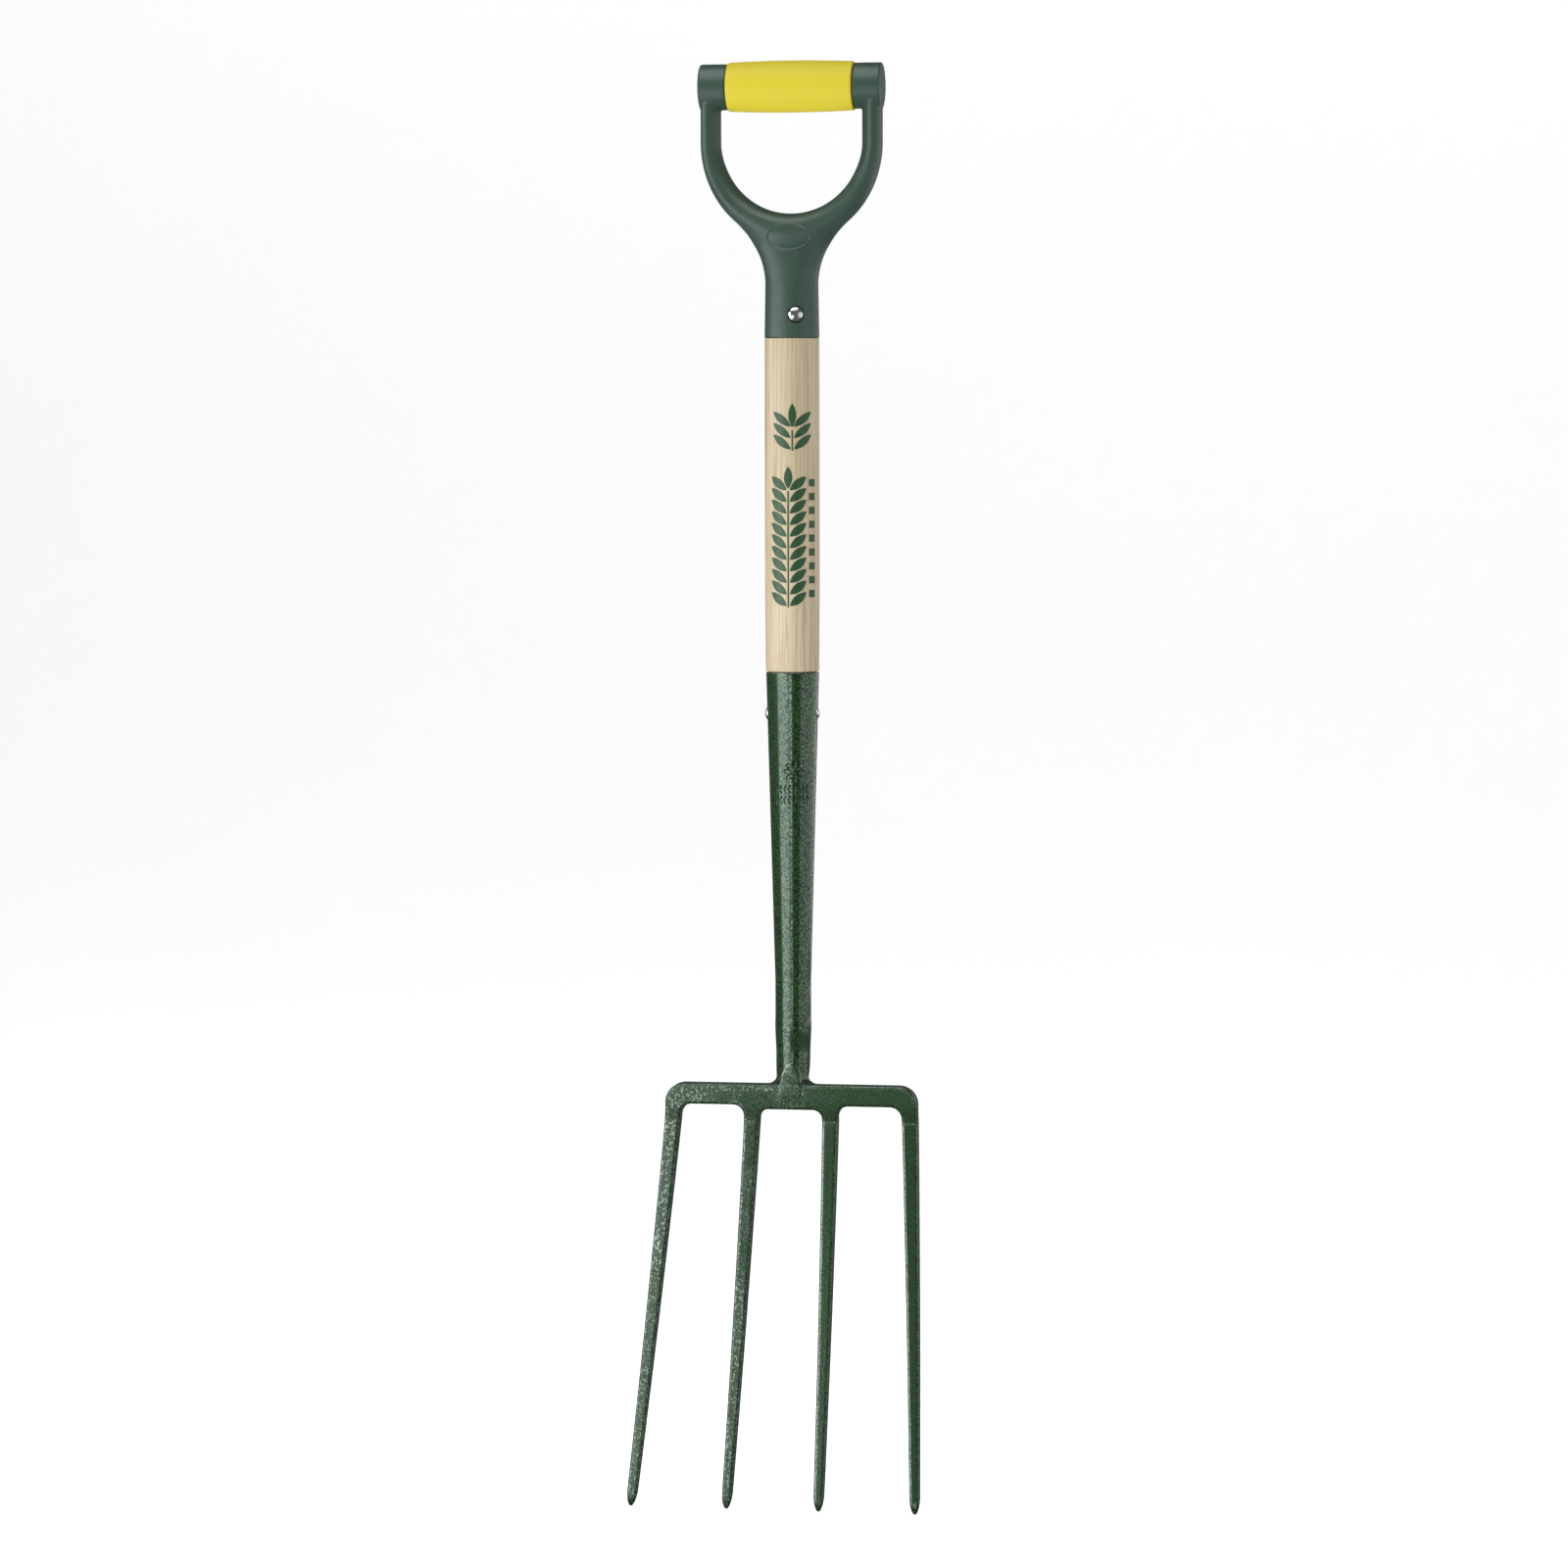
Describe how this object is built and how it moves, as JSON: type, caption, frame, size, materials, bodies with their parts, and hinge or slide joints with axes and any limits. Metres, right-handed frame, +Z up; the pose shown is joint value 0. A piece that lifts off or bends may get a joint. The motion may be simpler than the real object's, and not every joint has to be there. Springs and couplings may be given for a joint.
{
  "type": "garden fork",
  "caption": "Garden fork with a D handle, round wooden shaft, tapered steel socket and straight crossbar; its splayed, forward-curved square tines dig, lift and aerate turf.",
  "frame": {"origin": "the hang point: the middle of the grip's underside, at the top of the hand opening", "axes": "+Z up along the shaft's axis, towards the grip; +X along the grip and the crossbar, to the right seen from the front; -Y to the front, the side that the tines curve towards"},
  "size_m": [0.2082, 0.1115, 1.017],
  "materials": {
    "green_plastic": "moulded polypropylene, satin, slightly orange-peeled",
    "yellow_grip": "soft-touch matt elastomer",
    "bright_steel": "bright plated",
    "ash_wood": "sanded and clear lacquered, grain along the shaft",
    "printed_green": "dark green ink printed on the lacquered wood",
    "hammered_green": "glossy hammer-finish paint over forged steel"
  },
  "bodies": {
    "root": {"handle_frame": "green_plastic", "grip_sleeve": "yellow_grip", "handle_rivet": "bright_steel", "handle_rivet_burr": "bright_steel", "shaft": "ash_wood", "socket": "hammered_green", "socket_rivet": "bright_steel", "head_bridge": "hammered_green", "neck_weld": "hammered_green", "tine_1": "hammered_green", "tine_2": "hammered_green", "tine_3": "hammered_green", "tine_4": "hammered_green"}
  },
  "joints": []
}
